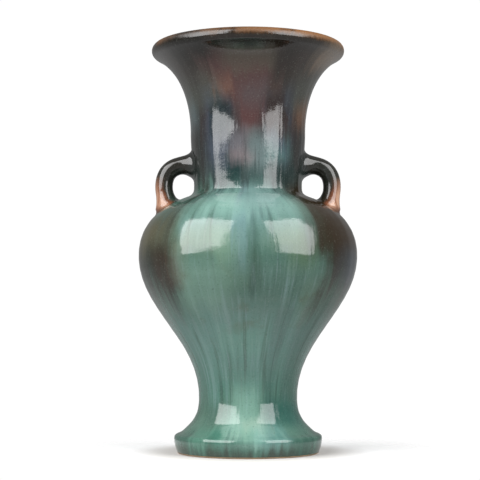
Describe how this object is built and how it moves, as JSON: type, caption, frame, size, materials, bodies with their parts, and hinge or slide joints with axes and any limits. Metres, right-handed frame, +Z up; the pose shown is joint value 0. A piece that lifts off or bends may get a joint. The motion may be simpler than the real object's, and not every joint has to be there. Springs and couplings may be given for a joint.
{
  "type": "twin-handled vase",
  "caption": "Round baluster vase with a trumpet mouth, full shoulder, narrow waist, spreading foot and a small loop handle on each side of the neck, in a glossy running glaze.",
  "frame": {"origin": "on the floor at the centre of the foot ring", "axes": "+Z up along the vase's axis, +X towards the handle that is on the right when the vase is seen from the front, -Y towards the viewer at the front"},
  "size_m": [0.161, 0.161, 0.3],
  "materials": {
    "green_glaze": "glossy running glaze, sea green and mint with blue-grey streaks, dark brown at the sides of the belly",
    "brown_glaze": "glossy running glaze, dark olive brown and plum, breaking to tan on the lip and on the edges of the handles"
  },
  "bodies": {
    "root": {"foot": "green_glaze", "lower_body": "green_glaze", "shoulder": "green_glaze", "neck_and_mouth": "brown_glaze", "handle_left": "brown_glaze", "handle_right": "brown_glaze"}
  },
  "joints": []
}
